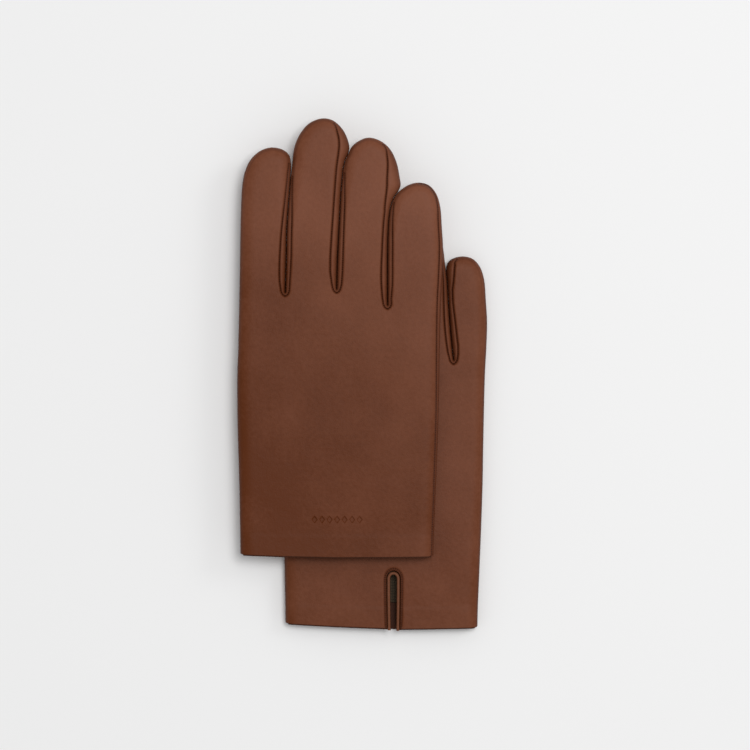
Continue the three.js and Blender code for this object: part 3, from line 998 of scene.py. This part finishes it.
def sew_tube(glove, name, part, grid, material, thickness, close_start=False, close_end=True):
    """A tube of rings, closed at its far end and, if asked, at its near one."""
    if close_end:
        grid = np.concatenate([grid, np.repeat(grid[-1:].mean(1, keepdims=True), grid.shape[1], 1)])
    if close_start:
        grid = np.concatenate([np.repeat(grid[:1].mean(1, keepdims=True), grid.shape[1], 1), grid])
    facing = outward_normals(grid, closed=True)
    if close_end:
        facing[-1] = [0, 1, 0]
    if close_start:
        facing[0] = [0, -1, 0]
    rows, columns = grid.shape[:2]
    faces = grid_faces(rows, columns, closed=True)
    merge = np.arange(rows * columns)
    if close_end:
        merge[(rows - 1) * columns:] = (rows - 1) * columns
    if close_start:
        merge[:columns] = 0
    faces = merge[faces]
    faces = faces[(faces[:, 0] != faces[:, 1]) & (faces[:, 1] != faces[:, 2]) & (faces[:, 2] != faces[:, 0])]
    used, renumbered = np.unique(faces, return_inverse=True)
    faces = renumbered.reshape(faces.shape)
    points, facing = grid.reshape(-1, 3)[used], facing.reshape(-1, 3)[used]
    far = np.full(len(points), FAR)
    thing = make_shell(glove, name, points, faces, facing, thickness,
                       {"from_seam": far, "along_seam": far * 0, "from_edge": far})
    dress(thing, glove, part, name if f"{glove.hand}_{name}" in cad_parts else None, material)


def finger_rings(glove, finger, low, high=None):
    """Rings of a finger's lining from one height to another, or to the fingertip, where they close."""
    left, right = glove.sides[finger, "left"], glove.sides[finger, "right"]
    tip = left.outline[-1, 1] - LINING_INSET
    closing, thinning, step = 7, 9, 4.0
    top = tip - closing if high is None else min(high, tip - closing)
    heights = np.linspace(low, top, max(3, int((top - low) / step)))
    if top == tip - closing:
        heights = np.concatenate([heights, tip - closing * (1 - np.sin(np.linspace(0.15, 1.52, 9)))])
    middles, widths, thick = [], [], []
    for y in heights:
        a = np.interp(y, left.outline[:, 1], left.outline[:, 0])
        b = np.interp(y, right.outline[:, 1], right.outline[:, 0])
        middles.append(((a + b) / 2, y, MIDDLE))
        widths.append(max((b - a) / 2 - LINING_INSET, 0.4))
        past = max((y - (tip - thinning)) / thinning, 0)
        thick.append((FINGER_HALF - LINING_INSET) * math.sqrt(max(1 - past ** 2, 0.01)))
    return tube_sections(middles, widths, thick)


def sew_finger_lining(one, finger, part, low, tip):
    """A finger's lining up to its tip, or for the index finger up to its touch tip."""
    rings = finger_rings(one, finger, low, tip - LINING_GAP if finger == "index" else None)
    sew_tube(one, f"{finger}_lining", part, rings, "knit", LINING_THICKNESS, close_end=finger != "index")


def bind_vent(one):
    """A rolled leather edge round the vent."""
    path = one.vent_line(past_binding(-size("binding_width") / 2), 0.6)
    path = path[path[:, 1] > -0.6]
    path = np.vstack([[path[0, 0], -0.9], path, [path[-1, 0], -0.9]])
    level = MIDDLE - one.rise("palm", path) + 0.15
    level = np.convolve(np.pad(level, 4, mode="edge"), np.ones(9) / 9, "valid")
    level = np.minimum(level, 1.3)
    tangent = unit(np.gradient(path, axis=0))
    sideways = np.stack([-tangent[:, 1], tangent[:, 0]], 1)
    turn = np.linspace(0, 2 * math.pi, 20, endpoint=False)
    half_width = size("binding_width") / 2 + 0.12
    centre = np.column_stack([path, level + 0.1])[:, None]
    across = np.column_stack([sideways, np.zeros(len(path))])[:, None] * half_width
    upward = np.where(np.sin(turn) > 0, 1.9, 0.95) * np.sin(turn)
    grid = centre + across * np.cos(turn)[:, None] + [0, 0, 1] * upward[:, None]
    make_bar(one, "vent_binding", grid, unit(grid - centre), "trim_leather")


def make_bar(one, name, grid, facing, material):
    """A closed bar from a grid of rings, with flat ends."""
    rows, columns = grid.shape[:2]
    faces = grid_faces(rows, columns, closed=True)
    points = np.vstack([grid.reshape(-1, 3), grid[0].mean(0), grid[-1].mean(0)])
    start, end = rows * columns, rows * columns + 1
    ring = np.arange(columns)
    caps = np.vstack([
        np.column_stack([np.full(columns, start), np.roll(ring, -1), ring]),
        np.column_stack([np.full(columns, end), ring + (rows - 1) * columns,
                         np.roll(ring, -1) + (rows - 1) * columns]),
    ])
    mesh = bpy.data.meshes.new(name)
    every = np.vstack([faces, caps])
    placed = one.place(points)
    a, b, c = (placed[faces[:, k]] for k in range(3))
    outward = facing.reshape(-1, 3) * [1, 1, one.up]
    if np.sum(np.cross(b - a, c - a) * outward[faces[:, 0]]) < 0:
        every = every[:, ::-1]
    mesh.from_pydata(placed.tolist(), [], every.tolist())
    mesh.polygons.foreach_set("use_smooth", np.ones(len(every), bool))
    mesh.set_sharp_from_angle(angle=math.radians(60))
    store(mesh, "rest", points * MM)
    dress(link(f"{one.hand}_{name}", mesh), one, "", name, material)


def stitch_vent(one):
    """Rows of small stitches beside the binding."""
    pitch = bpy.context.scene.glove_leather.stitch_pitch / MM * 1.25
    rings, columns = 7, 8
    turn = np.linspace(0, 2 * math.pi, columns, endpoint=False)
    ring = range(1, columns - 1)
    last = (rings - 1) * columns
    stitch_faces = grid_faces(rings, columns, closed=True).tolist()
    stitch_faces += [[0, j, j + 1] for j in ring] + [[last, last + j + 1, last + j] for j in ring]
    stitch_faces = np.array(stitch_faces)
    points, faces = [], []
    for side in (-1, 1):
        for k in range(int((VENT_TOP - 4) / pitch)):
            y = 1.6 + k * pitch
            x = VENT_X + side * past_binding(STITCH_ROW) * vent_squeeze(y)
            level = MIDDLE - float(one.rise("palm", np.array([[x, y]]))[0])
            faces += (stitch_faces + len(points)).tolist()
            for u in np.linspace(-1, 1, rings):
                girth = 0.27 * math.sqrt(max(1 - u * u, 0.02))
                for t in turn:
                    points.append((x + girth * math.cos(t), y + u * pitch * 0.36,
                                   level + 0.02 + girth * math.sin(t) * 0.9 + 0.1 * u * u))
    points = np.array(points)
    mesh = bpy.data.meshes.new("vent_stitches")
    mesh.from_pydata(one.place(points).tolist(), [], faces)
    mesh.polygons.foreach_set("use_smooth", np.ones(len(faces), bool))
    store(mesh, "rest", points * MM)
    dress(link(f"{one.hand}_vent_stitches", mesh), one, "", None, "thread")


def thumb_rings(middle, half, shrink):
    """Rings of a flattened thumb, closing at both ends, from its box's middle and half sizes."""
    low, high = middle[1] - half[1] + shrink, middle[1] + half[1] - shrink
    base = low + THUMB_FOOT * (1 - np.cos(np.linspace(0.12, math.pi / 2, 8)))
    tip = high - THUMB_TIP * (1 - np.sin(np.linspace(0.0, 1.5, 12)))
    heights = np.concatenate([base, np.linspace(base[-1] + 3, tip[0] - 3, 16), tip])
    rings, widths, thick = [], [], []
    for y in heights:
        past = max((low + THUMB_FOOT - y) / THUMB_FOOT, (y - high + THUMB_TIP) / THUMB_TIP, 0)
        shape = math.sqrt(max(1 - past ** 2, 0.004))
        swell = 1 - 0.06 * math.sin((y - low) / (high - low) * math.pi * 1.4)
        rings.append((middle[0], y, middle[2]))
        widths.append((half[0] - shrink) * shape * swell)
        thick.append((half[2] - shrink) * min(1, shape * 1.25))
    return tube_sections(rings, widths, thick, count=64, power=2.7)


def sew_thumb(one):
    """The thumb with its lining and touch tip, in the box that the frame gives it."""
    low, high = ((np.array(v) - one.origin) / MM * [1, 1, one.up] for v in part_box(f"{one.hand}_thumb"))
    middle, half = (low + high) / 2, np.abs(high - low) / 2
    tip_y = (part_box(f"{one.hand}_thumb_touch_tip")[0].y - one.origin[1]) / MM
    sew_tube(one, "thumb", "", thumb_rings(middle, half, 0.0), "nappa", 0.7, close_start=True)
    inner = thumb_rings(middle, half, 1.0)
    heights = inner[:, 0, 1]
    sew_tube(one, "thumb_lining", "", inner[heights < tip_y], "knit", 0.5, close_start=True, close_end=False)
    sew_tube(one, "thumb_touch_tip", "", inner[heights >= tip_y], "conductive_knit", 0.5)


# ---------------------------------------------------------------- properties

def length(name, description, default, precision=4):
    return bpy.props.FloatProperty(
        name=name, description=description, default=default, min=0, unit="LENGTH", precision=precision)


def tint(name, description, default):
    return bpy.props.FloatVectorProperty(
        name=name, description=description, default=default, subtype="COLOR", size=3, min=0, max=1)


class GloveFormSettings(bpy.types.PropertyGroup):
    """Sizes of the sewn gloves"""
    leather_thickness: length("Leather thickness", "Thickness of the nappa", 0.0009)
    edge_round: length("Edge rounding", "How far in from its sides a finger or the hand rounds off", 0.0085)
    slit_round: length("Slit rounding", "The same, at the foot of the slit between two fingers", 0.0034)
    edge_fullness: bpy.props.FloatProperty(
        name="Edge fullness", description="2 is a round edge, and more is a fuller one", default=2.4, min=1.5)
    seam_depth: length("Seam depth", "How deep a seam pulls the leather in", 0.0010, 5)
    seam_width: length("Seam width", "How far from the seam the leather dips", 0.0013, 5)
    cuff_round: length("Cuff edge rounding", "Radius of the cuff's turned edge", 0.0009)
    vent_opening: length("Vent opening", "Width of the vent in the palm", 0.0040)
    binding_width: length("Binding width", "Width of the leather binding round the vent", 0.0014)
    ornament_depth: length("Ornament depth", "Depth of the pressed lozenges above the hem", 0.0006, 5)
    bend_before: length("Bend start", "How far before its knuckle line a finger starts to bend", 0.001)
    bend_after: length("Bend end", "How far past its knuckle line a finger has bent fully", 0.026)


class GloveLeatherSettings(bpy.types.PropertyGroup):
    """Colours and finish of the gloves"""
    colour: tint("Nappa", "Colour of the leather", (0.142, 0.046, 0.0215))
    # The colour of the painted shade in seams and along edges, and of the darker dye there
    edge_colour: tint("Nappa at edges", "Colour in seams and along edges", (0.075, 0.018, 0.006))
    trim_colour: tint("Trim", "Colour of the binding round the vent", (0.150, 0.057, 0.030))
    # Painted shade: the turned-in leather is much darker than the nappa, for the shade inside the cuff and
    # the vent
    shaded_facing_colour: tint("Facing", "Colour of the leather turned in at the cuff", (0.046, 0.014, 0.006))
    thread_colour: tint("Thread", "Colour of the stitches beside the vent", (0.060, 0.018, 0.008))
    lining_colour: tint("Lining", "Colour of the knitted lining", (0.052, 0.033, 0.015))
    tip_colour: tint("Touch tips", "Colour of the conductive knit", (0.09, 0.09, 0.1))
    roughness: bpy.props.FloatProperty(
        name="Roughness", description="Roughness of the nappa", default=0.5, min=0.05, max=1,
        subtype="FACTOR")
    pore_size: length("Pore size", "Spacing of the pores in the leather", 0.0007, 5)
    stitch_pitch: length("Stitch pitch", "Length of one stitch", 0.00125, 5)


class GloveStageSettings(bpy.types.PropertyGroup):
    """Floor, light and camera"""
    view_width: length("View width", "Width of floor that the camera sees", 0.4224)
    camera_height: length("Camera height", "Height of the camera over the floor", 2.2)
    floor_colour: tint("Floor", "Colour of the floor", (0.9, 0.9, 0.9))
    soft_light: bpy.props.FloatProperty(
        name="Soft light", description="Strength of the light from all round", default=0.46, min=0)
    key_light: bpy.props.FloatProperty(
        name="Key light", description="Power of the large light", default=47.0, min=0, unit="POWER")


# ---------------------------------------------------------------- operators

class GLOVES_OT_stage(bpy.types.Operator):
    """Lay the floor and set the lights and the camera"""
    bl_idname = "gloves.stage"
    bl_label = "Stage"

    def execute(self, context):
        stage = context.scene.glove_stage
        context.scene.view_settings.view_transform = "Standard"
        floor_mesh = bpy.data.meshes.new("floor")
        reach = 3.0
        corners = [(-reach, -reach, 0), (reach, -reach, 0), (reach, reach, 0), (-reach, reach, 0)]
        floor_mesh.from_pydata(corners, [], [(0, 1, 2, 3)])
        floor = link("floor", floor_mesh)
        paper = bpy.data.materials.new("floor_paper")
        paper.use_nodes = True
        shader = paper.node_tree.nodes["Principled BSDF"]
        shader.inputs["Base Color"].default_value = (*stage.floor_colour, 1)
        shader.inputs["Roughness"].default_value = 0.9
        shader.inputs["Specular IOR Level"].default_value = 0.1
        floor_mesh.materials.append(paper)
        world = bpy.data.worlds.new("soft_room")
        context.scene.world = world
        world.use_nodes = True
        sky = world.node_tree.nodes["Background"]
        sky.inputs["Color"].default_value = (1, 1, 1, 1)
        sky.inputs["Strength"].default_value = stage.soft_light
        low, high = (np.array(v) for v in CAD_BOX)
        centre = (low + high) / 2
        for name, power, place, width in (
            ("key_light", stage.key_light, (0.55, 0.5, 3.0), 1.2),
            ("side_light", stage.key_light * 0.13, (1.9, 0.9, 1.6), 0.8),
        ):
            lamp_data = bpy.data.lights.new(name, "AREA")
            lamp_data.energy, lamp_data.size = power, width
            lamp = bpy.data.objects.new(name, lamp_data)
            context.scene.collection.objects.link(lamp)
            lamp.location = place
            aim = np.array(place) - centre
            lamp.rotation_euler = (
                math.atan2(math.hypot(aim[0], aim[1]), aim[2]), 0, math.atan2(aim[0], -aim[1]))
        camera_data = bpy.data.cameras.new("camera")
        sensor_width, level = 36, high[2] * 0.3  # the view's width is measured at that level
        camera_data.sensor_width = sensor_width
        camera_data.lens = sensor_width * (stage.camera_height - level) / stage.view_width
        camera_data.clip_end = 20
        camera = bpy.data.objects.new("camera", camera_data)
        camera.location = (centre[0] + CAMERA_ASIDE[0], centre[1] + CAMERA_ASIDE[1], stage.camera_height)
        context.scene.collection.objects.link(camera)
        context.scene.camera = camera
        return {"FINISHED"}


def both_gloves():
    return Glove("right"), Glove("left")


def sew_panels(face):
    for one in both_gloves():
        for part in ("", *one.roots):
            sew_panel(one, face, part)


class GLOVES_OT_backs(bpy.types.Operator):
    """Sew the backs of the hands and fingers"""
    bl_idname = "gloves.backs"
    bl_label = "Backs"

    def execute(self, context):
        sew_panels("back")
        return {"FINISHED"}


class GLOVES_OT_palms(bpy.types.Operator):
    """Sew the palms of the hands and fingers"""
    bl_idname = "gloves.palms"
    bl_label = "Palms"

    def execute(self, context):
        sew_panels("palm")
        return {"FINISHED"}


class GLOVES_OT_fourchettes(bpy.types.Operator):
    """Sew the strips between the fingers"""
    bl_idname = "gloves.fourchettes"
    bl_label = "Fourchettes"

    def execute(self, context):
        for one in both_gloves():
            for finger in FINGERS:
                if finger != "index":
                    sew_strip(one, finger, "left", f"{finger}_inner_fourchette")
                if finger != "little":
                    foot = f"{finger}_fourchette_foot"
                    root = one.roots[finger] if f"{one.hand}_{foot}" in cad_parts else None
                    sew_strip(one, finger, "right", f"{finger}_outer_fourchette", low=root)
                    if root:
                        sew_strip(one, finger, "right", foot, high=root)
        return {"FINISHED"}


class GLOVES_OT_sides(bpy.types.Operator):
    """Fold the index side and sew the little finger side"""
    bl_idname = "gloves.sides"
    bl_label = "Sides"

    def execute(self, context):
        for one in both_gloves():
            for finger, side, join in (("index", "left", "fold"), ("little", "right", "seam")):
                root = one.roots.get(finger)
                sew_strip(one, finger, side, f"hand_side_{join}", low=0, high=root)
                if root:
                    sew_strip(one, finger, side, f"{finger}_side_{join}", low=root)
        return {"FINISHED"}


class GLOVES_OT_cuffs(bpy.types.Operator):
    """Turn in the cuffs and bind the vents"""
    bl_idname = "gloves.cuffs"
    bl_label = "Cuffs and vents"

    def execute(self, context):
        for one in both_gloves():
            sew_facing(one)
            bind_vent(one)
            stitch_vent(one)
        return {"FINISHED"}


class GLOVES_OT_linings(bpy.types.Operator):
    """Knit the linings of the hands and fingers, with their touch tips"""
    bl_idname = "gloves.linings"
    bl_label = "Linings"

    def execute(self, context):
        for one in both_gloves():
            sew_hand_lining(one)
            tip = (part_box(f"{one.hand}_index_touch_tip")[0].y - one.origin[1]) / MM
            for finger in one.roots:
                sew_finger_lining(one, finger, finger, one.roots[finger] + 0.3, tip)
            part = "index" if "index" in one.roots else ""
            sew_tube(one, "index_touch_tip", part, finger_rings(one, "index", tip), "conductive_knit",
                     LINING_THICKNESS)
            for finger in FINGERS:
                if finger not in one.roots:
                    sew_finger_lining(one, finger, "", JOINED_LINING_FROM, tip)
        return {"FINISHED"}


class GLOVES_OT_thumbs(bpy.types.Operator):
    """Sew the thumbs with their linings and touch tips"""
    bl_idname = "gloves.thumbs"
    bl_label = "Thumbs"

    def execute(self, context):
        for one in both_gloves():
            sew_thumb(one)
        return {"FINISHED"}


class GLOVES_PT_panel(bpy.types.Panel):
    """Sizes, finishes and steps of the gloves"""
    bl_idname = "GLOVES_PT_panel"
    bl_label = "Gloves"
    bl_space_type = "VIEW_3D"
    bl_region_type = "UI"
    bl_category = "Gloves"

    def draw(self, context):
        for settings in (context.scene.glove_form, context.scene.glove_leather, context.scene.glove_stage):
            box = self.layout.box()
            for name in settings.__annotations__:
                box.prop(settings, name)
        for step in STEPS:
            self.layout.operator(step.bl_idname)


STEPS = (
    GLOVES_OT_stage, GLOVES_OT_backs, GLOVES_OT_palms, GLOVES_OT_fourchettes, GLOVES_OT_sides,
    GLOVES_OT_cuffs, GLOVES_OT_linings, GLOVES_OT_thumbs,
)
CLASSES = (GloveFormSettings, GloveLeatherSettings, GloveStageSettings, *STEPS, GLOVES_PT_panel)


def register():
    for each in CLASSES:
        bpy.utils.register_class(each)
    bpy.types.Scene.glove_form = bpy.props.PointerProperty(type=GloveFormSettings)
    bpy.types.Scene.glove_leather = bpy.props.PointerProperty(type=GloveLeatherSettings)
    bpy.types.Scene.glove_stage = bpy.props.PointerProperty(type=GloveStageSettings)


def unregister():
    del bpy.types.Scene.glove_form, bpy.types.Scene.glove_leather, bpy.types.Scene.glove_stage
    for each in reversed(CLASSES):
        bpy.utils.unregister_class(each)


def main():
    register()
    bpy.ops.gloves.stage()
    bpy.ops.gloves.backs()
    bpy.ops.gloves.palms()
    bpy.ops.gloves.fourchettes()
    bpy.ops.gloves.sides()
    bpy.ops.gloves.cuffs()
    bpy.ops.gloves.linings()
    bpy.ops.gloves.thumbs()


if __name__ == "__main__":
    main()
